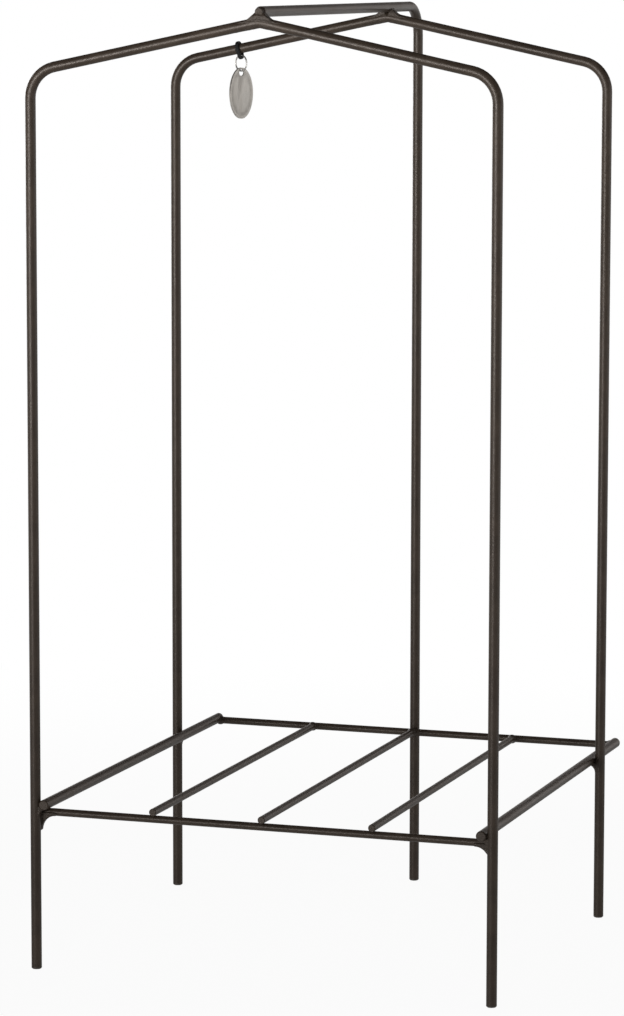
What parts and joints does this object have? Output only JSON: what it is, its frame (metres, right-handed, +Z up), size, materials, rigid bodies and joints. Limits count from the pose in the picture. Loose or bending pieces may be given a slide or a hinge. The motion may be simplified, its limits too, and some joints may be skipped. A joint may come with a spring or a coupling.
{
  "type": "magazine holder",
  "caption": "Free-standing open magazine holder of bent and welded round rod: gabled hoops tied by a ridge that turns down as a back leg, a low rod shelf, and a small oval tag that swings.",
  "frame": {"origin": "on the floor, under the middle of the object's box", "axes": "+X to the right seen from the front, +Y from front to back, +Z up"},
  "size_m": [0.2554, 0.2734, 0.5052],
  "materials": {
    "painted_rod": "satin dark brown-black",
    "painted_weld": "satin dark brown-black, rough",
    "black_band": "matt black",
    "ring_wire": "bright",
    "tag_metal": "brushed, nickel grey"
  },
  "bodies": {
    "frame": {"front_hoop": "painted_rod", "rear_hoop": "painted_rod", "ridge_and_back_leg": "painted_rod", "left_rail": "painted_rod", "right_rail": "painted_rod", "front_cross_rod": "painted_rod", "back_cross_rod": "painted_rod", "left_slat": "painted_rod", "centre_slat": "painted_rod", "right_slat": "painted_rod", "front_peak_weld": "painted_weld", "rear_peak_weld": "painted_weld", "front_left_rail_weld": "painted_weld", "rear_left_rail_weld": "painted_weld", "front_right_rail_weld": "painted_weld", "rear_right_rail_weld": "painted_weld", "left_cross_weld": "painted_weld", "right_cross_weld": "painted_weld", "back_leg_weld": "painted_weld", "back_rod_welds": "painted_weld", "slat_welds": "painted_weld"},
    "band": {"tag_band": "black_band"},
    "ring": {"jump_ring": "ring_wire"},
    "tag": {"hang_tag": "tag_metal"}
  },
  "joints": [
    {"name": "band_slide", "type": "slide", "parent": "frame", "child": "band", "axis": [0.9787, 0, 0.2051], "range_m": [-0.02, 0.07]},
    {"name": "ring_swing", "type": "hinge", "parent": "band", "child": "ring", "pos_m": [-0.08592, 0.078, 0.47383], "axis": [0.454, 0.891, 0], "range_deg": [-20, 6]},
    {"name": "tag_swing", "type": "hinge", "parent": "ring", "child": "tag", "pos_m": [-0.08592, 0.078, 0.46663], "axis": [0.891, -0.454, 0], "range_deg": [-85, 85]}
  ]
}
